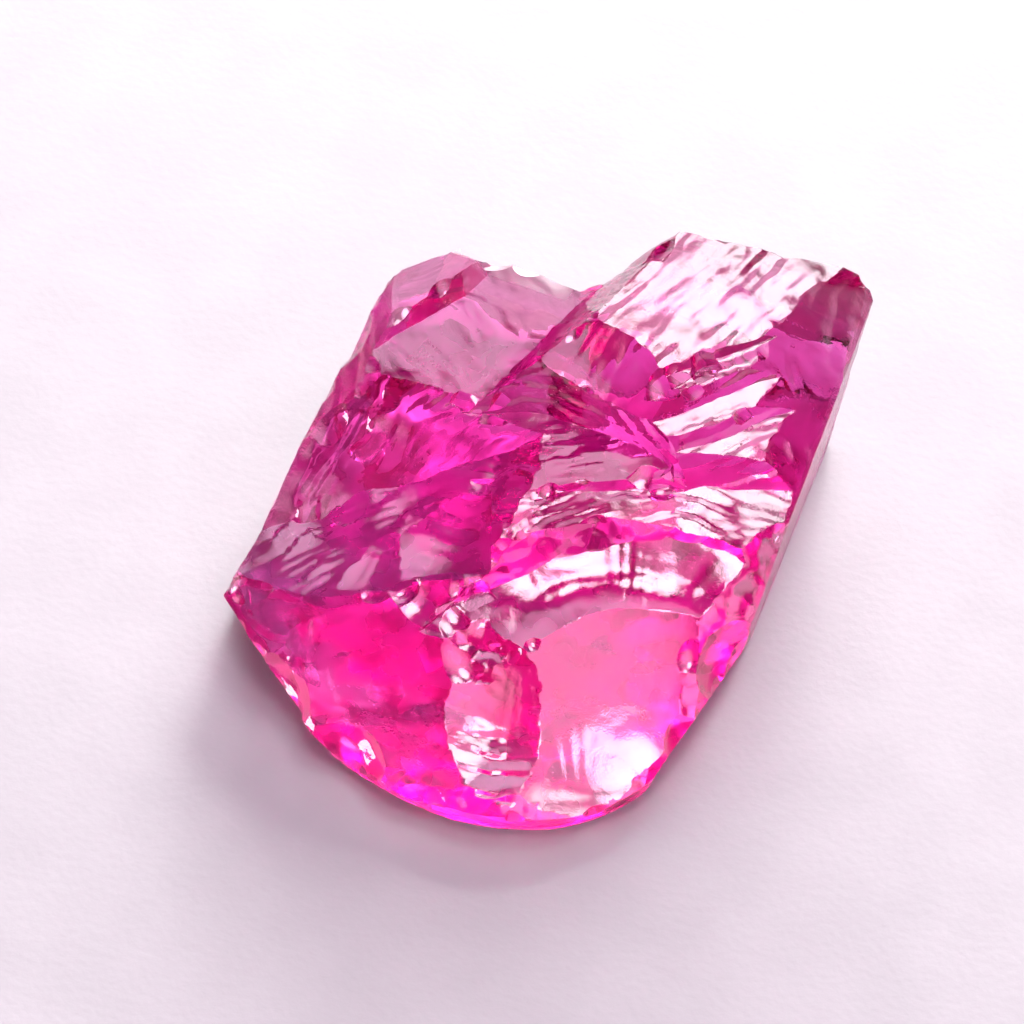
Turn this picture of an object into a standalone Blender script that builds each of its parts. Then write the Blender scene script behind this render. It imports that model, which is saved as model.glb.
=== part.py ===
"""Raw zircon: one broken length of a clear pink crystal, 36 mm long, lying on a flat break.

The stone is made the way it came about. A square crystal, a little crooked as it lies, is
broken away one piece at a time. Each break takes off what lies outside its faces, and a
face is flat or bowed like a shell. Metres, +Z up, and +Y along the crystal.
"""

import math

import bmesh
import bpy
from mathutils import Matrix, Vector

MM = 0.001

# The crystal, in millimetres, before anything broke off it.
CRYSTAL_LOW = (-15.5, -20.0, 0.0)
CRYSTAL_HIGH = (16.5, 21.0, 17.0)
HALF_WIDTH = 12.8
FLANK_LEAN = 9.0

# Heights above the face that it rests on, in millimetres.
BLOCK_HEIGHT = 13.9
LOBE_HEIGHT = 11.5
SHELF_HEIGHT = 8.4
HOLLOW_HEIGHT = 6.3
RIM_HEIGHT = 1.6

# The thin parallel steps that run down from the block to the shelf.
STEPS = 3
STEP_ALONG = Vector((0.7, -1.9, -1.15))
STEP_START = Vector((7.2, 8.2, 12.7))

# Chips in the edges: the place, the direction it opens to and the radius of each.
CHIP_REACH = 4.0
CHIPS = (
    ((12.0, 6.7, 9.6), -32, 48, 3.5),
    ((13.0, 10.4, 9.9), -12, 30, 3.0),
    ((-5.2, -4.0, 6.5), -66, 70, 7.0),
    ((-8.3, -5.6, 5.9), -75, 72, 8.0),
    ((-2.4, -8.7, 6.5), -80, 60, 5.0),
    ((-7.6, -14.5, 2.1), -115, 38, 4.0),
    ((-3.2, -16.0, 1.6), -100, 42, 4.0),
    ((1.5, -17.6, 1.4), -90, 42, 5.0),
    ((11.9, -11.2, 1.8), -28, 40, 4.0),
    ((12.9, -4.9, 3.0), -12, 44, 3.0),
    ((-7.6, 11.0, 10.9), 95, 40, 3.0),
    ((-12.2, 2.6, 9.1), 165, 40, 3.0),
)

# The spacing of the points on a bowed face, how far a face reaches each way, and the
# height of the block of waste over it.
GRAIN = 1.0
REACH = 24.0
OVERHEAD = 30.0

scene = bpy.context.scene
for leftover in list(bpy.data.objects):
    bpy.data.objects.remove(leftover)


def outward(heading, rise):
    """The direction at this many degrees round from +X, and this many above level."""
    turn, climb = math.radians(heading), math.radians(rise)
    level = math.cos(climb)
    return Vector((level * math.cos(turn), level * math.sin(turn), math.sin(climb)))


def axes_of(normal):
    """A turn that brings +Z onto the normal and keeps +X level."""
    across = Vector((0, 0, 1)).cross(normal)
    across = across.normalized() if across.length > 0.05 else Vector((1, 0, 0))
    across = (across - normal * across.dot(normal)).normalized()
    return Matrix((across, normal.cross(across), normal)).transposed().to_4x4()


def face(at, heading, rise, bow=(0, 0), reach=REACH):
    """A closed block whose underside is one broken face.

    The face goes through the point at. Its bow is one over its radius, level and uphill:
    above 0 leaves a hollow in the stone and below 0 a swelling.
    """
    shape = bmesh.new()
    count = round(2 * reach / GRAIN) if any(bow) else 4
    bmesh.ops.create_grid(shape, x_segments=count, y_segments=count, size=reach)
    for vert in shape.verts:
        vert.co.z = (bow[0] * vert.co.x**2 + bow[1] * vert.co.y**2) / 2
    top = max(vert.co.z for vert in shape.verts) + OVERHEAD
    rim = [edge for edge in shape.edges if edge.is_boundary]
    walls = bmesh.ops.extrude_edge_only(shape, edges=rim)["geom"]
    for vert in walls:
        if isinstance(vert, bmesh.types.BMVert):
            vert.co.z = top
    bmesh.ops.holes_fill(shape, edges=[edge for edge in shape.edges if edge.is_boundary])
    bmesh.ops.recalc_face_normals(shape, faces=shape.faces)
    place = Matrix.Translation(Vector(at)) @ axes_of(outward(heading, rise))
    shape.transform(Matrix.Scale(MM, 4) @ place)
    mesh = bpy.data.meshes.new("face")
    shape.to_mesh(mesh)
    shape.free()
    return mesh


def as_cutter(name, mesh):
    """A helper object, drawn as wires and left out of the part."""
    cutter = bpy.data.objects.new(name, mesh)
    cutter.display_type = "WIRE"
    cutter.hide_render = True
    scene.collection.objects.link(cutter)
    return cutter


def boolean(target, other, operation):
    step = target.modifiers.new(other.name, "BOOLEAN")
    step.operation = operation
    step.solver = "EXACT"
    step.object = other


def break_off(stone, name, *faces):
    """Takes away what lies outside all of these faces. Two faces meet in a notch."""
    cutter = as_cutter(name, faces[0])
    for count, mesh in enumerate(faces[1:], start=2):
        boolean(cutter, as_cutter(f"{name}-{count}", mesh), "INTERSECT")
    boolean(stone, cutter, "DIFFERENCE")


def crystal(name):
    """The whole square crystal that the stone is broken out of."""
    low, high = Vector(CRYSTAL_LOW), Vector(CRYSTAL_HIGH)
    shape = bmesh.new()
    bmesh.ops.create_cube(shape, size=1)
    bmesh.ops.scale(shape, vec=high - low, verts=shape.verts)
    bmesh.ops.translate(shape, vec=(low + high) / 2, verts=shape.verts)
    shape.transform(Matrix.Scale(MM, 4))
    mesh = bpy.data.meshes.new(name)
    shape.to_mesh(mesh)
    shape.free()
    stone = bpy.data.objects.new(name, mesh)
    scene.collection.objects.link(stone)
    return stone


def pink_crystal():
    """Clear, wet-looking and deep pink."""
    look = bpy.data.materials.new("pink_zircon")
    look.use_nodes = True
    shader = look.node_tree.nodes["Principled BSDF"]
    shader.inputs["Base Color"].default_value = (0.80, 0.10, 0.42, 1.0)
    shader.inputs["Roughness"].default_value = 0.04
    shader.inputs["Metallic"].default_value = 0.0
    shader.inputs["IOR"].default_value = 1.95
    shader.inputs["Transmission Weight"].default_value = 1.0
    return look


stone = crystal("raw_zircon")

# The two flat growth flanks lean the same way, because they were one square crystal.
break_off(stone, "left-flank", face((-HALF_WIDTH + 0.2, 0, 8), 180, FLANK_LEAN + 1))
break_off(stone, "right-flank", face((HALF_WIDTH + 0.2, 3, 3), 5, 1 - FLANK_LEAN))
break_off(stone, "left-bevel", face((-12.4, -4, 7.3), 201, 50))

# The front end is rounded, with an undercut below it and a blunt band round its rim.
break_off(stone, "nose-right", face((12.65, -7, 2), -6, -19))
break_off(stone, "nose-corner", face((9.9, -14.9, 1.8), -46, -19, (-1 / 9, 0), 7.6))
break_off(stone, "nose-left", face((0.9, -17.95, 1.8), -94, -24, (-1 / 20, 0), 12))
break_off(stone, "nose-far-left", face((-6.6, -15.7, 1.5), -119, -17))
break_off(stone, "left-end", face((-11.9, -12.2, 3.6), -131, -29))
break_off(stone, "rim-left", face((-4.6, -16.4, 2.0), -110, 40))
break_off(stone, "rim-middle", face((5.0, -17.3, RIM_HEIGHT), -76, 54, (-1 / 20, 0), 7))
break_off(stone, "rim-right", face((10.6, -13.4, RIM_HEIGHT), -36, 50))

# The back end is two rough breaks that meet in a notch behind the lobe.
LOBE_BACK = ((-6.0, 11.4, 11), 88, 4, (-1 / 40, 1 / 60))
break_off(stone, "back", face((6.0, 15.2, 14), 106, 3, (0, 1 / 50), 34), face(*LOBE_BACK))
break_off(stone, "back-notch", face((0.5, 13.2, 12), 132, 5), face(*LOBE_BACK))
break_off(stone, "back-corner", face((-11.2, 9.0, 9), 140, 7))
break_off(stone, "right-corner", face((11.9, 16.9, 9), 51, -9))
break_off(stone, "back-foot", face((-3, 12.6, 1.6), 96, -28, (1 / 30, 1 / 12)))

# The top: a high block at the back right, and a smooth lobe one wall lower beside it.
BLOCK_WALL = ((-1.3, 11.6, 11), 167, 40)
break_off(
    stone,
    "lobe",
    face((-7.4, 6.4, LOBE_HEIGHT), -90, 87, (-1 / 60, -1 / 60)),
    face(*BLOCK_WALL),
)
break_off(
    stone,
    "lobe-scoop",
    face((-3.2, 7.6, LOBE_HEIGHT - 1), 225, 85, (1 / 40, 1 / 40)),
    face(*BLOCK_WALL),
    face((-9.3, 6.5, 11.0), -25, 30),
)
break_off(stone, "block-top", face((3.9, 9.5, BLOCK_HEIGHT), -25, 76))
break_off(stone, "block-lip", face((1.3, 4.3, 12.4), -66, 58, (1 / 9, 1 / 14), 6))
break_off(stone, "wing", face((8.2, 10.2, 13.3), -16, 51, (1 / 80, 0)))

# The middle: a deep hollow on the left, and a shelf with steps above it on the right.
break_off(
    stone,
    "hollow",
    face((-5.2, -6.2, HOLLOW_HEIGHT), 185, 70, (1 / 45, 1 / 45)),
    face((-6.0, 1.2, 9.4), -79, 35, (1 / 30, 1 / 30)),
)
break_off(
    stone,
    "wall-ledge",
    face((-1.5, 2.4, 9.6), -80, 87),
    face((-1.5, 2.9, 10.0), -76, 12, (1 / 14, 0)),
)
break_off(stone, "toe", face((-9.3, -11.7, 4.4), 245, 62))
break_off(
    stone,
    "shelf",
    face((5.8, 1.7, 10.0), -60, 32),
    face((8.2, 0.7, SHELF_HEIGHT), -45, 77),
)
for number in range(STEPS):
    tread = STEP_START + STEP_ALONG * number
    riser = tread + Vector((0.1 * (2 - number), 0.3, 0.2))
    break_off(
        stone,
        f"step-{number + 1}",
        face(tread, -30, 74 + number),
        face(riser, -37, 29),
    )

# The front: a smooth scoop on the right under a ledge, and a flatter face on the left.
break_off(stone, "scoop", face((8.6, -6.2, 5.0), -64, 56, (1 / 22, 1 / 25)))
break_off(
    stone,
    "ledge",
    face((8.6, -1.6, 7.0), -71, 69, (0, 1 / 20)),
    face((8.6, -0.3, 7.7), -74, 26, (1 / 16, 0)),
)
break_off(stone, "front-left", face((-5.3, -11.9, 4.5), -89, 54, (1 / 70, 1 / 20)))
break_off(stone, "nose-dish", face((4.8, -12.8, 3.0), -82, 68, (1 / 10, 1 / 10), 12))
break_off(stone, "gully", face((0.5, -8.8, 5.8), -62, 60, (1 / 5, 1 / 30), 6))

# Chips knocked out of the edges.
for number, (at, heading, rise, radius) in enumerate(CHIPS, start=1):
    break_off(stone, f"chip-{number}", face(at, heading, rise, (1 / radius, 1 / radius), CHIP_REACH))

stone.data.materials.append(pink_crystal())
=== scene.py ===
# %% [markdown]
# # A raw pink zircon
#
# This lesson turns a plain block model of a raw gem crystal into one that looks real close to. The stone is
# one solid chunk, about 36 mm long: part of a square crystal that was snapped off on all sides, so it has a
# few flat faces that it grew with and many glassy, shell-shaped breaks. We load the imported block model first.
# It gives the size that the finished stone has to keep.

import itertools
import math
import time

import bmesh
import bpy
import numpy as np
from mathutils import Matrix, Vector


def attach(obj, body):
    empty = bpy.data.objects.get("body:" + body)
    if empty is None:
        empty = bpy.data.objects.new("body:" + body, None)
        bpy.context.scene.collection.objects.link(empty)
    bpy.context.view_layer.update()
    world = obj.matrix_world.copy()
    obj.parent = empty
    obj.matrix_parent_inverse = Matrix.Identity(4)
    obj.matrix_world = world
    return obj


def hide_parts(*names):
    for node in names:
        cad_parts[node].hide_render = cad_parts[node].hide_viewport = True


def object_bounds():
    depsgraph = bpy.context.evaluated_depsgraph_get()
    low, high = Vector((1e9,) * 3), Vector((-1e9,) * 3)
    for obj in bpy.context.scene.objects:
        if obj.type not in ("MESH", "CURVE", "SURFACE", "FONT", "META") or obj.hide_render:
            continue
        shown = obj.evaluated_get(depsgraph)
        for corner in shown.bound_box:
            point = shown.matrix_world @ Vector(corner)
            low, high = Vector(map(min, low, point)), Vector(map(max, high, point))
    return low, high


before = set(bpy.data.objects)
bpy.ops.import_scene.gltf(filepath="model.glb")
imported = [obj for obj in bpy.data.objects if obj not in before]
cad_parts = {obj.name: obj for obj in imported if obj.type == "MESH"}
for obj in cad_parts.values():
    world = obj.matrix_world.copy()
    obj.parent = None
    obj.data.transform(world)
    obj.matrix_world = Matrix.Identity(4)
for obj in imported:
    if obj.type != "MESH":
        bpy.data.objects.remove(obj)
CAD_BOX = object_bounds()
MM = 0.001
began = time.time()
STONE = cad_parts["raw_zircon"]
scene = bpy.context.scene
corners = [tuple(round(n / MM, 1) for n in corner) for corner in CAD_BOX]
print("packed stone:", len(STONE.data.polygons), "faces, from", *corners)

# %% [markdown]
# ## The plan
#
# A stone like this could be sculpted by hand, or a rough lump could be pushed in and out by a noise texture.
# Neither gives the crisp creases where two breaks meet. So we do what the hammer did: we start from the whole
# crystal and take away one break after another. These are the same named sizes as in the block model, so that
# each fine break lies exactly on its plain one. Every place is in millimetres.

# %% Sizes, in millimetres
CRYSTAL_LOW = (-15.5, -20.0, 0.0)
CRYSTAL_HIGH = (16.5, 21.0, 17.0)
HALF_WIDTH = 12.8
FLANK_LEAN = 9.0
BLOCK_HEIGHT = 13.9
LOBE_HEIGHT = 11.5
SHELF_HEIGHT = 8.4
HOLLOW_HEIGHT = 6.3
RIM_HEIGHT = 1.6
STEPS = 3
STEP_ALONG = Vector((0.7, -1.9, -1.15))
STEP_START = Vector((7.2, 8.2, 12.7))
CHIP_REACH = 4.0
CHIPS = (
    ((12.0, 6.7, 9.6), -32, 48, 3.5),
    ((13.0, 10.4, 9.9), -12, 30, 3.0),
    ((-5.2, -4.0, 6.5), -66, 70, 7.0),
    ((-8.3, -5.6, 5.9), -75, 72, 8.0),
    ((-2.4, -8.7, 6.5), -80, 60, 5.0),
    ((-7.6, -14.5, 2.1), -115, 38, 4.0),
    ((-3.2, -16.0, 1.6), -100, 42, 4.0),
    ((1.5, -17.6, 1.4), -90, 42, 5.0),
    ((11.9, -11.2, 1.8), -28, 40, 4.0),
    ((12.9, -4.9, 3.0), -12, 44, 3.0),
    ((-7.6, 11.0, 10.9), 95, 40, 3.0),
    ((-12.2, 2.6, 9.1), 165, 40, 3.0),
)
print(len(CHIPS), "chips and", STEPS, "steps on a block", BLOCK_HEIGHT, "mm high")

# %% [markdown]
# ## Which way a face looks
#
# A face is easiest to describe as a quarry worker would: the compass heading that it looks towards, and how
# far it rises above level. Heading 0 is +X, heading 90 is +Y, and a rise of 90 looks straight up.

# %% Directions
def outward(heading, rise):
    """The direction, one long, that looks towards this heading and rise."""
    turn, climb = math.radians(heading), math.radians(rise)
    level = math.cos(climb)
    return Vector((level * math.cos(turn), level * math.sin(turn), math.sin(climb)))


def axes_of(normal):
    """A turn that makes u run level across the face, v uphill and z out of it."""
    across = Vector((0, 0, 1)).cross(normal)
    across = across.normalized() if across.length > 0.05 else Vector((1, 0, 0))
    across = (across - normal * across.dot(normal)).normalized()
    return Matrix((across, normal.cross(across), normal)).transposed().to_4x4()


print("heading -60, rise 30 looks along", [round(n, 2) for n in outward(-60, 30)])

# %% [markdown]
# ## Random swells
#
# Real breaks are never quite flat. Everything fine on them is built from one ingredient: soft random swells,
# known as gradient noise. A grid of small arrows leans the surface one way or another at each crossing, and
# we blend from arrow to arrow. The arrows come from a generator with a fixed seed, so that the stone is the
# same on every run.

# %% Random swells
DICE = np.random.default_rng(35).normal(size=(64, 64, 2))
DICE /= np.linalg.norm(DICE, axis=2, keepdims=True)
ROLLS = np.random.default_rng(53).random((64, 64, 4))


def swells(u, v, size, seed=0):
    """Soft random swells of about this size, from -1 to 1."""
    a, b = u / size + 7.31 * seed, v / size - 3.17 * seed
    i, j = np.floor(a).astype(int), np.floor(b).astype(int)
    x, y = a - i, b - j

    def corner(di, dj):
        lean = DICE[(i + di) % 64, (j + dj) % 64]
        return lean[..., 0] * (x - di) + lean[..., 1] * (y - dj)

    fx, fy = x**3 * (x * (6 * x - 15) + 10), y**3 * (y * (6 * y - 15) + 10)
    low = corner(0, 0) + fx * (corner(1, 0) - corner(0, 0))
    high = corner(0, 1) + fx * (corner(1, 1) - corner(0, 1))
    return 1.4 * (low + fy * (high - low))


def rough(u, v, size, seed=0, layers=3):
    """Swells on swells, each layer half the size and half the height."""
    return sum(swells(u, v, size / 2**n, seed + n) / 2**n for n in range(layers))


spots = np.linspace(0, 40, 400)
print("swells run from", swells(spots, spots, 1).min().round(2), "to", swells(spots, spots, 1).max().round(2))

# %% [markdown]
# ## Arcs and rays
#
# When a glassy stone breaks, the crack spreads out from where it began and leaves arcs like those of a shell.
# Fine lines fan out across the arcs. Both are a matter of polar measure: arcs follow the distance from the
# start, and rays follow the angle round it. Some swells are mixed in, so that no arc is a true circle.

# %% Arcs and rays
def turned(u, v, degrees):
    """The same places, measured along and across a line turned by so many degrees."""
    turn = math.radians(degrees)
    return u * math.cos(turn) + v * math.sin(turn), v * math.cos(turn) - u * math.sin(turn)


def ribs(u, v, start, spacing, height, seed=0):
    """Arcs like those of a shell, round the place where the crack began."""
    away = np.hypot(u - start[0], v - start[1])
    phase = away / spacing + 0.6 * swells(u, v, 3.5, seed) + 0.2 * swells(u, v, 1.3, seed + 5)
    strength = np.clip(0.4 + 0.9 * swells(u, v, 3.5, seed + 9), 0, 1.2)
    return height * strength * (0.6 - np.abs(np.sin(math.pi * phase)))


def rays(u, v, start, spacing, height, seed=0):
    """Fine lines that fan out from the place where the crack began."""
    du, dv = u - start[0], v - start[1]
    away, angle = np.hypot(du, dv), np.arctan2(dv, du)
    lines = swells(angle * 10 / spacing, away / 7, 1, seed)
    patches = np.clip(0.3 + swells(u, v, 3.0, seed + 4), 0, 1)
    return height * lines * patches


tallest = ribs(spots, spots, (0, 0), 1.5, 0.05).max()
print("an arc every 1.5 mm lifts the face by up to", tallest.round(3), "mm")

# %% [markdown]
# ## Grooves, steps and flakes
#
# Where the crack runs along the grain of the crystal it leaves long splinters, with grooves beside them and
# thin steps between them. Where it runs across, thin flakes overlap in arcs. A step and a flake are the same
# saw-tooth: a long, nearly level tread and a short riser, which catches the light as a thin bright line.

# %% Grooves, steps and flakes
def grooves(u, v, degrees, spacing, height, seed=0):
    """Fine, nearly straight ridges that run in one direction."""
    along, across = turned(u, v, degrees)
    lines = swells(along / 9, across, spacing, seed) + 0.5 * swells(along / 6, across, spacing / 2, seed + 3)
    return height * lines * np.clip(0.45 + 0.9 * swells(u, v, 2.2, seed + 7), 0, 1.3)


def terraces(u, v, degrees, width, height, seed=0):
    """Thin parallel steps: long, nearly level treads and short risers."""
    along, across = turned(u, v, degrees)
    wander = 0.5 * swells(along / 3, across, 2.2, seed) + 0.15 * swells(along, across, 0.8, seed + 2)
    place = across / width + wander
    part = place - np.floor(place)
    strength = np.clip(0.5 + 1.2 * swells(along / 3, across, 2.4, seed + 6), 0, 1.4)
    return height * strength * (np.minimum(part / 0.8, (1 - part) / 0.2) - 0.5)


def flakes(u, v, start, width, height, seed=0):
    """Thin flakes that overlap in arcs round the place where the crack began."""
    away = np.hypot(u - start[0], v - start[1])
    place = away / width + 0.7 * swells(u, v, 4.0, seed) + 0.15 * swells(u, v, 1.1, seed + 2)
    part = place - np.floor(place)
    strength = np.clip(0.6 + 1.1 * swells(u, v, 3.0, seed + 6), 0, 1.4)
    return height * strength * (np.minimum(part / 0.85, (1 - part) / 0.15) - 0.5)


print("a flake's edge stands", np.ptp(flakes(spots, spots, (0, 0), 1.7, 0.14)).round(2), "mm high")

# %% [markdown]
# ## Crushed facets
#
# The rim round the nose was crushed: it is a patchwork of tiny flat facets that sparkle in turn. We scatter
# seeds, give each its own tilted plane, and keep the highest plane at every place. Where two planes meet
# there is a crease, as on the stone.

# %% Crushed facets
def facets(u, v, size, lean, seed=0):
    """Small flat facets that meet in creases, each leaning its own way."""
    a, b = u / size + 3.7 * seed, v / size + 9.1 * seed
    i, j = np.floor(a).astype(int), np.floor(b).astype(int)
    best = np.full(np.shape(u), -1e9)
    for di in (-1, 0, 1):
        for dj in (-1, 0, 1):
            roll = ROLLS[(i + di) % 64, (j + dj) % 64]
            x, y = a - (i + di + roll[..., 0]), b - (j + dj + roll[..., 1])
            plane = (roll[..., 2] - 0.5) * x + (roll[..., 3] - 0.5) * y - 0.35 * (x * x + y * y)
            best = np.maximum(best, plane)
    return size * lean * (best + 0.1)


print("facets of 1 mm stand up to", np.ptp(facets(spots, spots, 1.0, 0.5)).round(2), "mm high")

# %% [markdown]
# ## Six kinds of surface
#
# Each kind mixes the ingredients above and gives back a function of the place on the face, u across and v
# uphill. A smooth shell, overlapping flakes, splinters and crushed facets are breaks. A grown face is nearly
# flat, with faint level lines. The worn underside only has hollows, so that the stone still rests on its
# plain level.

# %% Six kinds of surface
def shell(start=(0, 14), spacing=1.5, height=0.05, swell=0.14, fan=0.012, grit=0.010):
    """A smooth break with arcs, and fine lines across them."""
    return lambda u, v, seed: (
        swell * swells(u, v, 4.5, seed)
        + ribs(u, v, start, spacing, height, seed)
        + rays(u, v, start, 0.5, fan, seed)
        + grit * rough(u, v, 1.1, seed + 20)
    )


def flaked(start=(0, 14), width=1.7, height=0.14, swell=0.2, fan=0.02, grit=0.014):
    """Flakes that overlap, with small swells between their edges."""
    return lambda u, v, seed: (
        swell * swells(u, v, 3.6, seed)
        + flakes(u, v, start, width, height, seed)
        + 0.35 * flakes(u, v, (start[0] + 3, start[1] - 2), width * 0.4, height, seed + 31)
        + rays(u, v, start, 0.45, fan, seed)
        + grit * rough(u, v, 1.0, seed + 20)
    )


def splintered(degrees=0, spacing=0.5, height=0.045, swell=0.12, steps=0.10, width=1.5, grit=0.012):
    """Long splinters side by side: grooves, and thin steps between them."""
    return lambda u, v, seed: (
        swell * swells(u, v, 3.2, seed)
        + grooves(u, v, degrees, spacing, height, seed)
        + terraces(u, v, degrees, width, steps, seed)
        + grit * rough(u, v, 0.9, seed + 20)
    )


def crumpled(size=1.2, lean=0.6, swell=0.10, grit=0.02):
    """Small facets all over, as where the edge was crushed."""
    return lambda u, v, seed: (
        swell * swells(u, v, 3.0, seed)
        + facets(u, v, size, lean, seed)
        + 0.5 * facets(u, v, size * 0.4, lean, seed + 3)
        + grit * rough(u, v, 0.8, seed + 20)
    )


def grown(height=0.02):
    """A face that the crystal grew: flat, with faint level lines."""
    return lambda u, v, seed: height * swells(u / 7, v, 0.5, seed) + height * rough(u, v, 2.5, seed)


def worn(height=0.14):
    """The underside: shallow hollows that never reach below the level it rests on."""
    return lambda u, v, seed: np.minimum(0, height * (rough(u, v, 4.0, seed) - 0.15))


print("the underside is hollowed by up to", -worn()(spots, spots, 1).min().round(2), "mm")

# %% [markdown]
# ## Where a face shows
#
# Each break is a large sheet, but only a patch of it stays on the stone. A fine mesh all over would be far
# too heavy, so we look up where the block model's own corners lie on this sheet. The mesh is fine there and
# coarse everywhere else.

# %% Where a face shows
REACH = 24.0  # half the side of a whole sheet
GRAIN = 0.17  # between two places where the mesh is fine
COARSE = 2.0  # and where it is coarse
ON_SHEET = 0.06  # how near a corner of the block model lies to its own sheet
SKIN = np.array([vert.co for vert in STONE.data.vertices]) / MM


def shows(place, bow, reach):
    """Where on the stone this face shows: its lowest and highest level and uphill places."""
    turn = np.array(place.inverted())
    local = SKIN @ turn[:3, :3].T + turn[:3, 3]
    u, v, z = local.T
    near = np.abs(z - (bow[0] * u * u + bow[1] * v * v) / 2) < ON_SHEET
    near &= (np.abs(u) <= reach) & (np.abs(v) <= reach)
    if near.sum() < 3:  # it hardly shows: a small patch in the middle is enough
        return np.array((-1.0, -1.0)), np.array((1.0, 1.0))
    return local[near, :2].min(axis=0), local[near, :2].max(axis=0)


def spread(low, high, reach, grain):
    """Places along one side: close together between low and high, and wide apart outside."""
    fine = np.arange(low, high + grain, grain)
    before = np.arange(-reach, fine[0], COARSE) if fine[0] > -reach else np.array([])
    after = np.arange(fine[-1] + COARSE, reach + COARSE, COARSE) if fine[-1] < reach else np.array([])
    return np.concatenate((before, fine, after))


print("places along a side of 48 mm:", len(spread(-3.0, 3.0, REACH, GRAIN)))

# %% [markdown]
# ## One broken face
#
# A face is a block of waste that lies on the break. Blender's grid gives the sheet, extrude_edge_only raises
# its walls and holes_fill closes the roof. Then the sheet's own points are moved: to their fine or coarse
# places, bent by the bow of the break, and lifted by its fine surface. The fine surface fades out near the
# patch's edge, where nobody sees it.

# %% One broken face
MARGIN = 0.8  # the fine mesh goes this far past the patch that shows
FADE = 0.5  # and over this much of it the fine surface fades out
OVERHEAD = 30.0  # from the highest point of a sheet up to its roof
NUMBERS = itertools.count(1)


def face(at, heading, rise, bow=(0, 0), reach=REACH, look=shell(), seed=None, grain=GRAIN):
    """The waste outside a sheet through this place: bow is how sharply it bends along u and v."""
    number = next(NUMBERS)
    seed = number if seed is None else seed
    place = Matrix.Translation(Vector(at)) @ axes_of(outward(heading, rise))
    low, high = shows(place, bow, reach)
    low = np.maximum(low - MARGIN, -reach)
    high = np.minimum(high + MARGIN, reach)
    us, vs = (spread(low[n], high[n], reach, grain) for n in (0, 1))

    shape = bmesh.new()
    bmesh.ops.create_grid(shape, x_segments=len(us) - 1, y_segments=len(vs) - 1, size=1)
    walls = bmesh.ops.extrude_edge_only(shape, edges=[e for e in shape.edges if e.is_boundary])["geom"]
    roof = [vert for vert in walls if isinstance(vert, bmesh.types.BMVert)]
    bmesh.ops.translate(shape, vec=(0, 0, 1), verts=roof)
    bmesh.ops.holes_fill(shape, edges=[e for e in shape.edges if e.is_boundary])
    bmesh.ops.recalc_face_normals(shape, faces=shape.faces)
    shape.verts.index_update()
    up = [vert.index for vert in roof]
    mesh = bpy.data.meshes.new("face")
    shape.to_mesh(mesh)
    shape.free()

    points = np.empty(len(mesh.vertices) * 3)
    mesh.vertices.foreach_get("co", points)
    points = points.reshape(-1, 3)
    column = np.rint((points[:, 0] + 1) / 2 * (len(us) - 1)).astype(int)
    row = np.rint((points[:, 1] + 1) / 2 * (len(vs) - 1)).astype(int)
    u, v = us[column], vs[row]
    inside = np.minimum.reduce([u - low[0], high[0] - u, v - low[1], high[1] - v])
    z = (bow[0] * u * u + bow[1] * v * v) / 2 + look(u, v, seed) * np.clip(inside / FADE, 0, 1)
    z[up] = z.max() + OVERHEAD
    points = np.stack((u, v, z), axis=1)
    turn = np.array(place)
    points = (points @ turn[:3, :3].T + turn[:3, 3]) * MM
    mesh.vertices.foreach_set("co", points.ravel())
    mesh.update()
    return mesh


print("a face is fine up to", MARGIN, "mm past the patch that shows")

# %% [markdown]
# ## Breaking a piece off
#
# A break may have several faces, as a step has a tread and a riser. What flies off lies outside all of them,
# so the blocks of waste are intersected, and the result is cut from the stone. The Manifold solver is the
# quick one: it wants closed meshes, which these are, and it keeps the stone closed after every cut.

# %% Breaking a piece off
def stand(name, mesh):
    """Puts a mesh in the scene under this name."""
    thing = bpy.data.objects.new(name, mesh)
    scene.collection.objects.link(thing)
    return thing


def settled(thing):
    """Works out the modifiers and keeps their result as the thing's own mesh."""
    shaped = bpy.data.meshes.new_from_object(thing.evaluated_get(bpy.context.evaluated_depsgraph_get()))
    thing.modifiers.clear()
    old, thing.data = thing.data, shaped
    bpy.data.meshes.remove(old)


def boolean(target, other, operation):
    """Sets the target up to be cut by the other thing, or to its common part with it."""
    step = target.modifiers.new(other.name, "BOOLEAN")
    step.operation = operation
    step.solver = "MANIFOLD"
    step.object = other


def break_off(stone, name, *faces):
    """Takes away from the stone what lies outside all of these faces."""
    things = [stand(f"{name}-{n}", mesh) for n, mesh in enumerate(faces)]
    cutter = things[0]
    for other in things[1:]:
        boolean(cutter, other, "INTERSECT")
    boolean(stone, cutter, "DIFFERENCE")
    settled(stone)
    for thing in things:
        mesh = thing.data
        bpy.data.objects.remove(thing)
        bpy.data.meshes.remove(mesh)


def crystal(name):
    """The whole crystal, a plain block that is a little larger than the stone on every side."""
    low, high = Vector(CRYSTAL_LOW), Vector(CRYSTAL_HIGH)
    shape = bmesh.new()
    bmesh.ops.create_cube(shape, size=1)
    bmesh.ops.scale(shape, vec=high - low, verts=shape.verts)
    bmesh.ops.translate(shape, vec=(low + high) / 2, verts=shape.verts)
    shape.transform(Matrix.Scale(MM, 4))
    mesh = bpy.data.meshes.new(name)
    shape.to_mesh(mesh)
    shape.free()
    return stand(name, mesh)


stone = crystal("pink_zircon")
print("the whole crystal:", [round(n / MM, 1) for n in stone.dimensions], "mm")

# %% [markdown]
# ## The faces that grew
#
# Zircon grows as a square prism. Two of its flat sides are left, and a bevel between the left side and the
# top. They are slightly frosted and nearly flat, in contrast to the glassy breaks. The underside is worn and
# level, and the stone rests on it.

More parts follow.
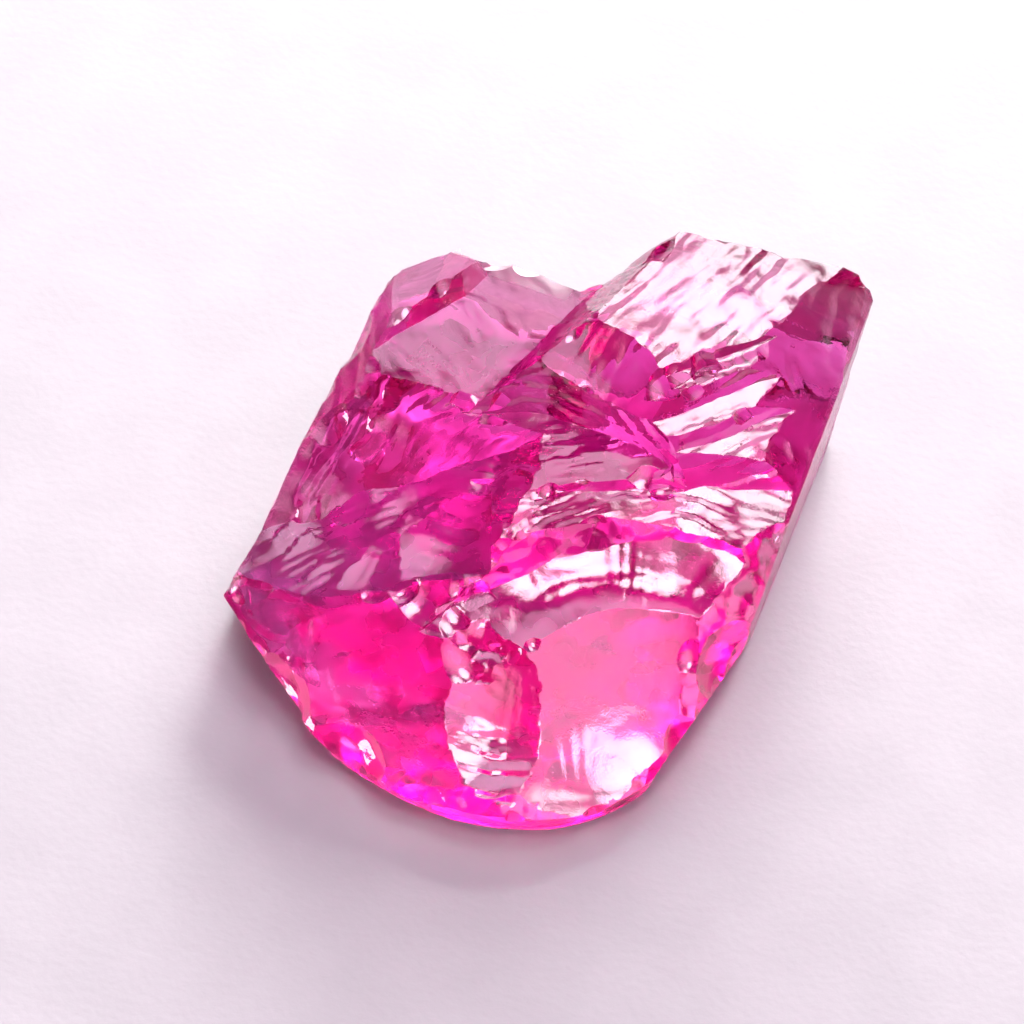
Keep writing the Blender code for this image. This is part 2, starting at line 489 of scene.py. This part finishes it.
# %% The faces that grew
BASE_GRAIN = 0.4
SIDE_GRAIN = 0.25
LEFT_FLANK = ((-HALF_WIDTH + 0.2, 0, 8), 180, FLANK_LEAN + 1)
RIGHT_FLANK = ((HALF_WIDTH + 0.2, 3, 3), 5, 1 - FLANK_LEAN)
LEFT_BEVEL = ((-12.4, -4, 7.3), 201, 50)
break_off(stone, "underside", face((0, 0, 0), -90, -90, look=worn(), grain=BASE_GRAIN))
break_off(stone, "left-flank", face(*LEFT_FLANK, look=grown(), grain=SIDE_GRAIN))
break_off(stone, "right-flank", face(*RIGHT_FLANK, look=grown(), grain=SIDE_GRAIN))
break_off(stone, "left-bevel", face(*LEFT_BEVEL, look=grown(0.03)))
print("grown faces:", len(stone.data.polygons), "faces so far")

# %% [markdown]
# ## The nose
#
# The front end is a blunt, rounded nose: five faces that lean in below, and a crushed rim above them where
# small facets sparkle. Some of the five bulge, with a negative bow, so that together they read as one curve.

# %% The nose
DULL = grown(0.03)
CRUSHED = crumpled(0.9, 0.55)
break_off(stone, "nose-right", face((12.65, -7, 2), -6, -19, look=DULL))
break_off(stone, "nose-corner", face((9.9, -14.9, 1.8), -46, -19, (-1 / 9, 0), 7.6, look=DULL))
break_off(stone, "nose-left", face((0.9, -17.95, 1.8), -94, -24, (-1 / 20, 0), 12, look=DULL))
break_off(stone, "nose-far-left", face((-6.6, -15.7, 1.5), -119, -17, look=DULL))
break_off(stone, "left-end", face((-11.9, -12.2, 3.6), -131, -29, look=DULL))
break_off(stone, "rim-left", face((-4.6, -16.4, 2.0), -110, 40, look=CRUSHED))
break_off(stone, "rim-middle", face((5.0, -17.3, RIM_HEIGHT), -76, 54, (-1 / 20, 0), 7, look=CRUSHED))
break_off(stone, "rim-right", face((10.6, -13.4, RIM_HEIGHT), -36, 50, look=CRUSHED))
print("nose:", len(stone.data.polygons), "faces so far")

# %% [markdown]
# ## The back end
#
# At the back the crystal snapped across, in two goes: there is a notch between the lobe on the left and the
# high block on the right. The same sheet bounds both breaks, with the same seed, so that its two halves
# match.

# %% The back end
ROUGH_BACK = shell((4, -12), 1.4, 0.09, 0.2)
LOBE_SEED = 11
LOBE_BACK = ((-6.0, 11.4, 11), 88, 4)
LOBE_BOW = (-1 / 40, 1 / 60)
BLOCK_BACK = ((6.0, 15.2, 14), 106, 3)
BACK_FOOT = ((-3, 12.6, 1.6), 96, -28)
break_off(
    stone,
    "back",
    face(*BLOCK_BACK, (0, 1 / 50), 34, look=ROUGH_BACK),
    face(*LOBE_BACK, LOBE_BOW, look=ROUGH_BACK, seed=LOBE_SEED, grain=SIDE_GRAIN),
)
break_off(
    stone,
    "back-notch",
    face((0.5, 13.2, 12), 132, 5, look=ROUGH_BACK),
    face(*LOBE_BACK, LOBE_BOW, look=ROUGH_BACK, seed=LOBE_SEED, grain=SIDE_GRAIN),
)
break_off(stone, "back-corner", face((-11.2, 9.0, 9), 140, 7, look=ROUGH_BACK, grain=SIDE_GRAIN))
break_off(stone, "right-corner", face((11.9, 16.9, 9), 51, -9, look=ROUGH_BACK, grain=SIDE_GRAIN))
break_off(stone, "back-foot", face(*BACK_FOOT, (1 / 30, 1 / 12), look=ROUGH_BACK, grain=SIDE_GRAIN))
print("back:", len(stone.data.polygons), "faces so far")

# %% [markdown]
# ## The lobe and the block
#
# On top, a smooth lobe lies lower on the left, and the block stands above it with a wall between them. The
# block's top is splintered along its length and mirrors the light in streaks. The wing on the right falls off
# smoothly.

# %% The lobe and the block
WALL_SEED = 21
BLOCK_WALL = ((-1.3, 11.6, 11), 167, 40)
WALL_LOOK = splintered(80, 0.6, 0.05)
BLOCK_TOP = splintered(8, 0.45, 0.055, 0.17, 0.09, 2.2, 0.012)
LIP_LOOK = splintered(60, 0.5, 0.05)
WING_LOOK = shell((8, -10), 1.6, 0.07, 0.14, 0.05)
break_off(
    stone,
    "lobe",
    face((-7.4, 6.4, LOBE_HEIGHT), -90, 87, (-1 / 60, -1 / 60), look=shell((-6, 12), 2.2, 0.05, 0.22)),
    face(*BLOCK_WALL, look=WALL_LOOK, seed=WALL_SEED),
)
break_off(
    stone,
    "lobe-scoop",
    face((-3.2, 7.6, LOBE_HEIGHT - 1), 225, 85, (1 / 40, 1 / 40), look=flaked((-6, 12), 2.0, 0.07, 0.20)),
    face(*BLOCK_WALL, look=WALL_LOOK, seed=WALL_SEED),
    face((-9.3, 6.5, 11.0), -25, 30, look=shell()),
)
break_off(stone, "block-top", face((3.9, 9.5, BLOCK_HEIGHT), -25, 76, look=BLOCK_TOP))
break_off(stone, "block-lip", face((1.3, 4.3, 12.4), -66, 58, (1 / 9, 1 / 14), 6, look=LIP_LOOK))
break_off(stone, "wing", face((8.2, 10.2, 13.3), -16, 51, (1 / 80, 0), look=WING_LOOK))
print("top:", len(stone.data.polygons), "faces so far")

# %% [markdown]
# ## The hollow on the left
#
# Below the lobe the stone is scooped out deeply. Flakes overlap in arcs down its wall and across its floor,
# and here the colour is darkest, because the light that leaves this way has come a long way through the
# stone.

# %% The hollow on the left
break_off(
    stone,
    "hollow",
    face((-5.2, -6.2, HOLLOW_HEIGHT), 185, 70, (1 / 45, 1 / 45), look=flaked((10, 8), 1.9, 0.18, 0.26)),
    face((-6.0, 1.2, 9.4), -79, 35, (1 / 30, 1 / 30), look=flaked((8, -8), 1.4, 0.18, 0.24)),
)
break_off(
    stone,
    "wall-ledge",
    face((-1.5, 2.4, 9.6), -80, 87, look=splintered(20, 0.6, 0.06, 0.16, 0.2, 1.6)),
    face((-1.5, 2.9, 10.0), -76, 12, (1 / 14, 0), look=flaked((0, -6), 1.1, 0.12)),
)
break_off(stone, "toe", face((-9.3, -11.7, 4.4), 245, 62, look=flaked((0, 10), 2.2, 0.10, 0.16)))
print("hollow:", len(stone.data.polygons), "faces so far")

# %% [markdown]
# ## The shelf and the steps
#
# From the block a stair of thin steps runs down to a broad shelf. The treads are nearly parallel, as the
# layers of the crystal are, so one loop breaks them off, each a little further down and out than the last.

# %% The shelf and the steps
break_off(
    stone,
    "shelf",
    face((5.8, 1.7, 10.0), -60, 32, look=splintered(10, 0.6, 0.06, 0.16, 0.16, 1.1)),
    face((8.2, 0.7, SHELF_HEIGHT), -45, 77, look=flaked((-6, -10), 1.6, 0.10, 0.20)),
)
for number in range(STEPS):
    tread = STEP_START + STEP_ALONG * number
    riser = tread + Vector((0.1 * (STEPS - 1 - number), 0.3, 0.2))
    break_off(
        stone,
        f"step-{number + 1}",
        face(tread, -30, 74 + number, look=splintered(-10, 0.45, 0.05, 0.10, 0.12, 1.0)),
        face(riser, -37, 29, look=splintered(0, 0.5, 0.05)),
    )
print("steps:", len(stone.data.polygons), "faces so far")

# %% [markdown]
# ## The scoop and the front
#
# The large smooth scoop at the front right is the stone's calmest place, and the palest, because it is thin
# there. A ledge with close arcs hangs over it. To its left are a fibrous facet and a crinkled gully between
# the two.

# %% The scoop and the front
break_off(
    stone,
    "scoop",
    face((8.6, -6.2, 5.0), -64, 56, (1 / 22, 1 / 25), look=shell((-3, -13), 2.4, 0.035, 0.10, 0.018, 0.006)),
)
break_off(
    stone,
    "ledge",
    face((8.6, -1.6, 7.0), -71, 69, (0, 1 / 20), look=shell((-2, -9), 1.5, 0.06, 0.24, 0.04, 0.014)),
    face((8.6, -0.3, 7.7), -74, 26, (1 / 16, 0), look=crumpled(1.0, 0.5)),
)
break_off(
    stone,
    "front-left",
    face((-5.3, -11.9, 4.5), -89, 54, (1 / 70, 1 / 20), look=shell((9, 6), 1.6, 0.07, 0.12, 0.05)),
)
break_off(
    stone,
    "nose-dish",
    face((4.8, -12.8, 3.0), -82, 68, (1 / 10, 1 / 10), 12, look=flaked((-2, 9), 1.3, 0.10, 0.16, 0.05)),
)
break_off(stone, "gully", face((0.5, -8.8, 5.8), -62, 60, (1 / 5, 1 / 30), 6, look=crumpled(0.8, 0.9)))
print("front:", len(stone.data.polygons), "faces so far")

# %% [markdown]
# ## Chips
#
# Knocks left a dozen bowl-shaped chips, mostly along the right edge and round the rim. They are all the same
# kind of break with another place and radius, so they come from one list.

# %% Chips
CHIP_LOOK = shell((3, 3), 0.9, 0.06, 0.08, 0.03)
for number, (at, heading, rise, radius) in enumerate(CHIPS, start=1):
    break_off(
        stone,
        f"chip-{number}",
        face(at, heading, rise, (1 / radius, 1 / radius), CHIP_REACH, look=CHIP_LOOK),
    )
print("chips:", len(stone.data.polygons), "faces so far")

# %% [markdown]
# ## Nicks along the ridges
#
# No sharp ridge of a raw stone stays whole: its edge is frayed by tiny nicks that glint. We find the sharp
# outer creases by the angle between their two faces, draw places along them at random, longer creases more
# often, and take a small bowl out at each. Nicks that don't touch go into one cut, so a few cuts make them
# all.

# %% Nicks along the ridges
NICKS = 150
NICK_BATCHES = 6
NICK_GRAIN = 0.13
NICK_RIM = 0.25  # how far a bowl goes on above the ridge
NICK_ROOF = 0.6  # and from its rim up to its roof
NICK_TILT = 0.25
LOWEST_NICK = 1.2


def ridges(stone, sharpest=math.radians(35)):
    """The places along the sharp outer creases, with the way each opens."""
    shape = bmesh.new()
    shape.from_mesh(stone.data)
    found = []
    for edge in shape.edges:
        if len(edge.link_faces) == 2 and edge.calc_face_angle_signed(0) > sharpest:
            middle = (edge.verts[0].co + edge.verts[1].co) / 2 / MM
            if middle.z > LOWEST_NICK:
                way = (edge.link_faces[0].normal + edge.link_faces[1].normal).normalized()
                found.append((middle, way, edge.calc_length() / MM))
    shape.free()
    return found


def half_width(radius, depth):
    """From the middle of a bowl to its rim."""
    return math.sqrt(2 * radius * (depth + NICK_RIM))


def nick(shape, place, way, radius, depth):
    """Adds one small closed bowl of waste to the shape, over this place."""
    reach = half_width(radius, depth)
    count = max(8, round(2 * reach / NICK_GRAIN))
    made = bmesh.ops.create_grid(shape, x_segments=count, y_segments=count, size=reach)["verts"]
    for vert in made:
        x, y = vert.co.x, vert.co.y
        vert.co.z = (x * x + 0.6 * y * y) / (2 * radius) - depth
    top = max(vert.co.z for vert in made) + NICK_ROOF
    rim = list(dict.fromkeys(edge for vert in made for edge in vert.link_edges if edge.is_boundary))
    walls = bmesh.ops.extrude_edge_only(shape, edges=rim)["geom"]
    roof = [part for part in walls if isinstance(part, bmesh.types.BMVert)]
    for vert in roof:
        vert.co.z = top
    cap = [part for part in walls if isinstance(part, bmesh.types.BMEdge)]
    bmesh.ops.holes_fill(shape, edges=cap)
    bmesh.ops.transform(shape, matrix=Matrix.Translation(place) @ axes_of(way), verts=made + roof)


dice = np.random.default_rng(7)
places = ridges(stone)
weights = np.array([length for _, _, length in places])
chosen = dice.choice(len(places), size=NICKS, replace=False, p=weights / weights.sum())
batches = [[] for _ in range(NICK_BATCHES)]
for number, index in enumerate(chosen):
    place, way, _ = places[index]
    tilt = Vector(dice.normal(size=3)) * NICK_TILT
    radius = 0.6 * 2.2 ** dice.random() * 2.2 ** dice.random()  # 0.6 to 2.9 mm
    depth = 0.05 + 0.22 * dice.random() ** 2  # 0.05 to 0.27 mm, shallow ones more often
    size = 2 * half_width(radius, depth)
    for batch in batches[number % NICK_BATCHES:] + batches[: number % NICK_BATCHES]:
        if all((place - other[0]).length > size + other[4] for other in batch):
            batch.append((place, (way + tilt).normalized(), radius, depth, size))
            break
for number, batch in enumerate(batches):
    shape = bmesh.new()
    for place, way, radius, depth, _ in batch:
        nick(shape, place, way, radius, depth)
    bmesh.ops.recalc_face_normals(shape, faces=shape.faces)
    shape.transform(Matrix.Scale(MM, 4))
    mesh = bpy.data.meshes.new("nicks")
    shape.to_mesh(mesh)
    shape.free()
    break_off(stone, f"nicks-{number}", mesh)
stone.data.calc_loop_triangles()
made = sum(len(batch) for batch in batches)
print("nicks:", made, "of them;", len(stone.data.loop_triangles), "triangles in all")

# %% [markdown]
# ## Smooth faces, sharp creases
#
# Glass shows every kink of its mesh, so the faces are shaded smooth. Where two breaks meet at more than 30
# degrees the edge is marked sharp, which keeps the crease. We also count open edges: light that travels
# through a solid needs a closed skin.

# %% Smooth faces, sharp creases
CREASE = math.radians(30)
shape = bmesh.new()
shape.from_mesh(stone.data)
for f in shape.faces:
    f.smooth = True
for e in shape.edges:
    e.smooth = len(e.link_faces) == 2 and e.calc_face_angle(0) < CREASE
open_edges = sum(not e.is_manifold for e in shape.edges)
print(open_edges, "open edges,", round(shape.calc_volume() / MM**3 / 1000, 2), "cubic centimetres")
print("all the breaks took", round(time.time() - began), "s")
shape.to_mesh(stone.data)
shape.free()

# %% [markdown]
# ## Maths on a surface
#
# A finish is a small network of nodes. It reads best as plain sums, so this class wraps a node's output and
# turns +, - and * into Math nodes, also where the number comes first. The second class holds one finish and
# adds any other node in a single call: its type, its settings, then the values or links of its sockets.

# %% Maths on a surface
class Signal:
    """One number at each point of a surface. Sums on signals add Math nodes."""

    def __init__(self, finish, socket):
        self.finish, self.socket = finish, socket

    def math(self, operation, *others):
        """Adds a Math node on this signal and the others."""
        sockets = dict(enumerate((self, *others)))
        return self.finish.node("ShaderNodeMath", {"operation": operation}, sockets)

    def __add__(self, other):
        return self.math("ADD", other)

    __radd__ = __add__

    def __mul__(self, other):
        return self.math("MULTIPLY", other)

    __rmul__ = __mul__

    def __sub__(self, other):
        return self.math("SUBTRACT", other)

    def __rsub__(self, other):
        return self.finish.node("ShaderNodeMath", {"operation": "SUBTRACT"}, {0: other, 1: self})

    def between(self, low, high):
        """0 below low, 1 above high and a smooth rise from one to the other."""
        return self.finish.node(
            "ShaderNodeMapRange",
            {"interpolation_type": "SMOOTHSTEP"},
            {"Value": self, "From Min": low, "From Max": high},
        )


class Finish:
    """The nodes of one material."""

    def __init__(self, name):
        self.material = bpy.data.materials.new(name)
        self.material.use_nodes = True
        self.tree = self.material.node_tree
        self.shader = self.tree.nodes["Principled BSDF"]
        self.output = self.tree.nodes["Material Output"]

    def set(self, node, sockets):
        """Links each signal to its socket, and writes each plain value on it."""
        for name, value in sockets.items():
            if isinstance(value, Signal):
                self.tree.links.new(value.socket, node.inputs[name])
            else:
                node.inputs[name].default_value = value

    def node(self, kind, settings=None, sockets=None, output=0):
        """Adds a node of this kind and gives back one of its outputs as a signal."""
        node = self.tree.nodes.new(kind)
        for name, value in (settings or {}).items():
            setattr(node, name, value)
        self.set(node, sockets or {})
        return Signal(self, node.outputs[output])

    def axes(self, place):
        """The three coordinates of a place, each as a signal."""
        return [self.node("ShaderNodeSeparateXYZ", {}, {0: place}, n) for n in range(3)]

    def cloud(self, place, size, detail=2.0):
        """Soft random patches of about this size in millimetres."""
        sockets = {"Vector": place, "Scale": 1 / (size * MM), "Detail": detail}
        return self.node("ShaderNodeTexNoise", {}, sockets)

    def blend(self, amount, first, second):
        """From the first colour to the second as the amount goes from 0 to 1."""
        sockets = {0: amount, 6: (*first, 1), 7: (*second, 1)}
        return self.node("ShaderNodeMix", {"data_type": "RGBA"}, sockets, output=2)

    def bumps(self, height, strength, depth):
        """Fine relief, depth millimetres deep, for the shader's Normal."""
        sockets = {"Strength": strength, "Distance": depth * MM, "Height": height}
        return self.node("ShaderNodeBump", {}, sockets)


pink = Finish("pink_zircon")
place = pink.node("ShaderNodeTexCoord", output="Object")
side, length, height = pink.axes(place)
print("the finish reads its place on the stone in metres")

# %% [markdown]
# ## Grown faces and underside
#
# The faces that the crystal grew, and the underside that it was worn on, are frosted: they scatter light
# where the breaks let it through. The frost under the stone matters most, because it turns the light that
# runs through the stone up towards us, as a ground-glass screen would. A face is a plane, so the finish finds
# it by the distance from that plane, with the same places and headings as the breaks.

# %% Grown faces and underside
SKIN_DEPTH = 0.22 * MM


def outside(at, heading, rise):
    """How far outside the plane through this place a point lies, in metres."""
    way, at = outward(heading, rise), Vector(at) * MM
    return side * way.x + length * way.y + height * way.z - way.dot(at)


def skin(at, heading, rise):
    """1 on the face through this place that looks this way, 0 elsewhere."""
    return outside(at, heading, rise).between(-1.6 * SKIN_DEPTH, -SKIN_DEPTH)


flanks = skin(*LEFT_FLANK).math("MAXIMUM", skin(*RIGHT_FLANK))
grown_skin = flanks.math("MAXIMUM", skin(*LEFT_BEVEL))
underside = 1 - height.between(0.35 * MM, 0.5 * MM)
print("the frosted skin is", round(SKIN_DEPTH / MM, 2), "mm deep")

# %% [markdown]
# ## The dull back wall
#
# The wall at the back is a rough old break, dull all over. It matters more than it seems: a polished wall
# would pass the lamps' light straight through the stone, but a dull one spreads it, so that the whole body
# glows. Each part of the wall is a band on both sides of its plane, ended where the next part takes over. On
# the block it stops a little below the top edge, which stays glossy.

# %% The dull back wall
BACK_FROST = 0.5


def wall(at, heading, rise, hollow, proud):
    """1 near this plane, from hollow millimetres inside it to proud outside, 0 elsewhere."""
    out = outside(at, heading, rise)
    inner, outer = -hollow * MM, proud * MM
    return out.between(inner, 0.7 * inner) * (1 - out.between(0.7 * outer, outer))


left = 1 - side.between(-3 * MM, -2 * MM)
right = side.between(-1 * MM, 0 * MM)
low_down = 1 - height.between(5 * MM, 6 * MM)
below_rim = 1 - height.between(10.5 * MM, 12 * MM)
behind_lobe = wall(*LOBE_BACK, 1.3, 0.8) * left
behind_block = wall(*BLOCK_BACK, 1.1, 1.2) * right * below_rim
foot = wall(*BACK_FOOT, 1.2, 1.0) * low_down
back_wall = behind_lobe.math("MAXIMUM", behind_block).math("MAXIMUM", foot)
print("the back wall has a roughness of", BACK_FROST)

# %% [markdown]
# ## Clear pink zircon
#
# Zircon bends light strongly: its index of 1.95 lies about halfway between glass and diamond, so light is
# thrown back and forth inside and leaves in bright patches beside dark ones. The colour isn't on the surface:
# the body takes green light out over a few millimetres, blue more slowly and red hardly at all. Thin places
# are therefore pale pink and long ways through are crimson, from the same three numbers. The surface only
# varies a little: greasy patches, a faint tint and fine relief, which is stronger where the skin is frosted.

# %% Clear pink zircon
GREASE = 0.05
SKIN_FROST = 0.22
BASE_FROST = 0.32
INDEX = 1.95
PINK = (0.994, 0.0, 0.76, 1)
DENSITY = 190
patches = pink.cloud(place, 2.6, 1.0).between(0.4, 0.65)
greasy = pink.cloud(place, 1.1, 1.0).between(0.52, 0.7)
fine = pink.cloud(place, 0.3, 1.0)
grain = pink.cloud(place, 0.11, 0.0)
frost = grown_skin * SKIN_FROST + underside * (0.7 + patches * 0.5) * BASE_FROST
pink.set(
    pink.shader,
    {
        "Base Color": pink.blend(patches, (1, 1, 1), (1, 0.94, 0.975)),
        "Roughness": greasy * GREASE + frost.math("MAXIMUM", back_wall * BACK_FROST),
        "Normal": pink.bumps(fine * 0.4 + grain * (0.15 + grown_skin * 0.8), 0.35, 0.03),
        "IOR": INDEX,
        "Transmission Weight": 1.0,
    },
)
body = pink.node("ShaderNodeVolumeAbsorption", {}, {"Color": PINK, "Density": DENSITY})
pink.set(pink.output, {"Volume": body})
stone.data.materials.clear()
stone.data.materials.append(pink.material)
print("pink zircon:", len(pink.tree.nodes), "nodes")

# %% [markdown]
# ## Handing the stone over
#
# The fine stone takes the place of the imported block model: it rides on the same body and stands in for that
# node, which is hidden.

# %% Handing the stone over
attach(stone, "root")
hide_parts("raw_zircon")
print("the stone rides on the root body")

# %% [markdown]
# ## A pale paper floor
#
# The stone is shown on a plain sheet of pale paper. The sheet lies a hair below the stone: where two surfaces
# lie in exactly the same place, a ray can't tell which it meets first, and the stone would turn black. Soft
# fibres give the paper a slight tooth.

# %% A pale paper floor
PAPER_REACH = 2.0
PAPER_GAP = 0.1 * MM
DARKER = (0.355, 0.347, 0.355)
PALER = (0.375, 0.367, 0.375)
shape = bmesh.new()
bmesh.ops.create_grid(shape, x_segments=1, y_segments=1, size=PAPER_REACH)
bmesh.ops.translate(shape, vec=(0, 0, -PAPER_GAP), verts=shape.verts)
mesh = bpy.data.meshes.new("floor")
shape.to_mesh(mesh)
shape.free()
floor = stand("floor", mesh)
paper = Finish("pale_paper")
sheet = paper.node("ShaderNodeTexCoord", output="Object")
mottle, fibres = paper.cloud(sheet, 6.0, 3.0), paper.cloud(sheet, 0.5, 4.0)
paper.set(
    paper.shader,
    {
        "Base Color": paper.blend(mottle.between(0.3, 0.7), DARKER, PALER),
        "Roughness": 0.85 + fibres * 0.1,
        "Normal": paper.bumps(fibres, 0.3, 0.06),
    },
)
floor.data.materials.append(paper.material)
print("the paper is", round(floor.dimensions.x), "m wide")

# %% [markdown]
# ## A dome of soft light
#
# A polished stone shows the lamps round it as in a mirror, and a hard-edged lamp gives a hard-edged white
# patch. So the broad lights are drawn on the studio's dome, each a round glow that fades out. One stands
# where the block top mirrors it to the camera, one where the lobe does, one for the smooth scoop and one for
# the ledge. The lobe's and the scoop's come off a faintly pink card. The rest of the dome stays dark, which
# keeps the colours deep.

# %% A dome of soft light
class Room:
    """The nodes of the studio's surroundings."""

    def __init__(self, name):
        self.world = bpy.data.worlds.new(name)
        self.world.use_nodes = True
        self.tree = self.world.node_tree
        self.shader = self.tree.nodes["Background"]

    set, node, axes, blend = Finish.set, Finish.node, Finish.axes, Finish.blend


room = Room("studio")
scene.world = room.world
east, north, up = room.axes(room.node("ShaderNodeTexCoord", output="Generated"))


def glow(heading, rise, reach, strength):
    """A round soft light on the dome, brightest at its middle."""
    way = outward(heading, rise)
    near = east * way.x + north * way.y + up * way.z
    return near.between(math.cos(math.radians(reach)), 1) * strength


HAZE = 0.02
HORIZON = 0.6
WHITE = (0.95, 0.96, 1)
ROSE = (1, 0.68, 0.92)
lobe_glow = glow(118, 53, 24, 3.2)
scoop_glow = glow(-25, 60, 38, 2.6)
block_glow = glow(68, 62, 15, 9)
ledge_glow = glow(-10, 84, 13, 11)
low = 1 - up.between(0.0, 0.36)
behind = (north * 0.985 + east * 0.17).between(0.1, 0.95)
card = lobe_glow + scoop_glow
white = HAZE + low * behind * HORIZON + block_glow + ledge_glow
tint = room.blend(card.between(0.0, 2.2), WHITE, ROSE)
room.set(room.shader, {"Color": tint, "Strength": white + card})
print("the dome has", len(room.tree.nodes), "nodes")

# %% [markdown]
# ## Low lamps behind
#
# A clear stone lives from the light behind it. Two lamps stand low at the back: they shine in through the
# back wall, run the length of the stone and light its front from within, and they throw its pink shadow
# towards us. A weak one on the left picks out the rim. Lamps and camera are placed in metres.

# %% Low lamps behind
MIDDLE = Vector((0, 0, 0.006))
LAMP_DISTANCE = 0.5


def softbox(name, heading, rise, size, glare):
    """A lamp on the line at this heading and rise, as bright as glare all over its face."""
    lamp = bpy.data.lights.new(name, "AREA")
    lamp.shape = "RECTANGLE"
    lamp.size, lamp.size_y = size
    lamp.energy = glare * size[0] * size[1] * math.pi
    thing = bpy.data.objects.new(name, lamp)
    thing.location = MIDDLE + outward(heading, rise) * LAMP_DISTANCE
    thing.rotation_euler = outward(heading, rise).to_track_quat("Z", "Y").to_euler()
    scene.collection.objects.link(thing)
    print(name, "lamp:", round(lamp.energy, 2), "W")


softbox("low", 112, 12, (0.24, 0.10), 50)
softbox("key", 92, 22, (0.24, 0.14), 60)
softbox("rim", -140, 9, (0.3, 0.10), 8)

# %% [markdown]
# ## Camera
#
# We look down at the stone from the front right, at 50 degrees, through a long lens, as a close-up is taken.
# Light bounces many times inside the stone, so it is followed for many bounces before it is given up.

# %% Camera
AZIMUTH = math.radians(24)
ELEVATION = math.radians(50)
DISTANCE = 0.254
FOCAL_LENGTH = 165
LOOK_AT = Vector((-0.00075, -0.0011, 0.006))
BOUNCES = 20
NOISE = 0.2  # a pixel with less noise than this needs no more light paths
level = math.cos(ELEVATION)
back = Vector((math.sin(AZIMUTH) * level, -math.cos(AZIMUTH) * level, math.sin(ELEVATION)))
lens = bpy.data.cameras.new("camera")
lens.lens = FOCAL_LENGTH
lens.clip_start = 0.01
camera = bpy.data.objects.new("camera", lens)
camera.location = LOOK_AT + back * DISTANCE
camera.rotation_euler = back.to_track_quat("Z", "Y").to_euler()
scene.collection.objects.link(camera)
scene.camera = camera
scene.cycles.max_bounces = BOUNCES
scene.cycles.transmission_bounces = BOUNCES
scene.cycles.adaptive_threshold = NOISE
scene.view_settings.view_transform = "Standard"
print("the camera is", DISTANCE, "m away")
